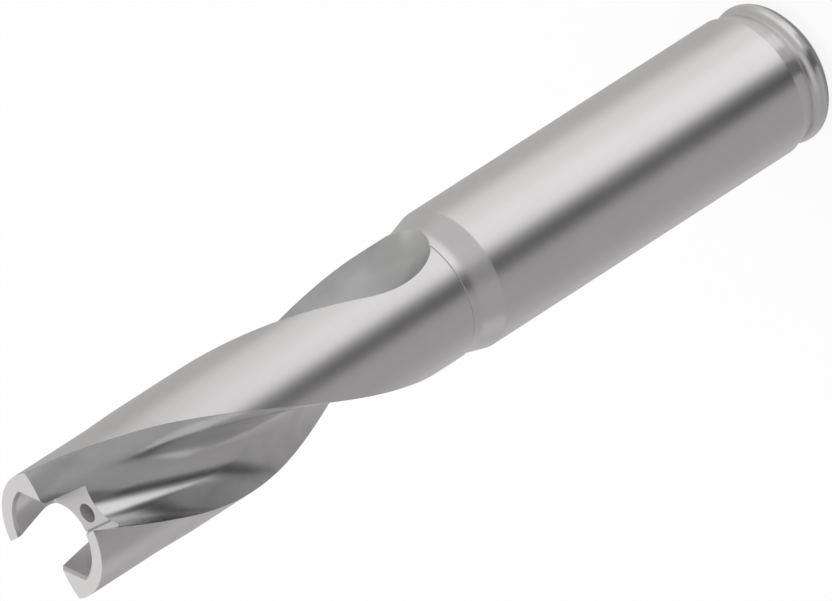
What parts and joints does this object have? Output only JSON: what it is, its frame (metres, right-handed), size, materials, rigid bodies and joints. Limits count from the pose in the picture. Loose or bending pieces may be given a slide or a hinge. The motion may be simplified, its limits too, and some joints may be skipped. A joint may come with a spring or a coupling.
{
  "type": "modular drill body",
  "caption": "Steel drill body with a plain round shank, grooved rear end, conical shoulder, helically fluted body and a tip pocket with hooked arms for an exchangeable crown.",
  "frame": {"origin": "centre of the flat rear face of the shank, on the tool axis", "axes": "+Z along the tool axis from the rear face to the tip; +X along the two parallel drive flats of the tip pocket; +Y square to those flats"},
  "size_m": [0.016, 0.016, 0.1078],
  "materials": {
    "steel": "ground tool steel, fine satin"
  },
  "bodies": {
    "root": {"drill_body": "steel"}
  },
  "joints": []
}
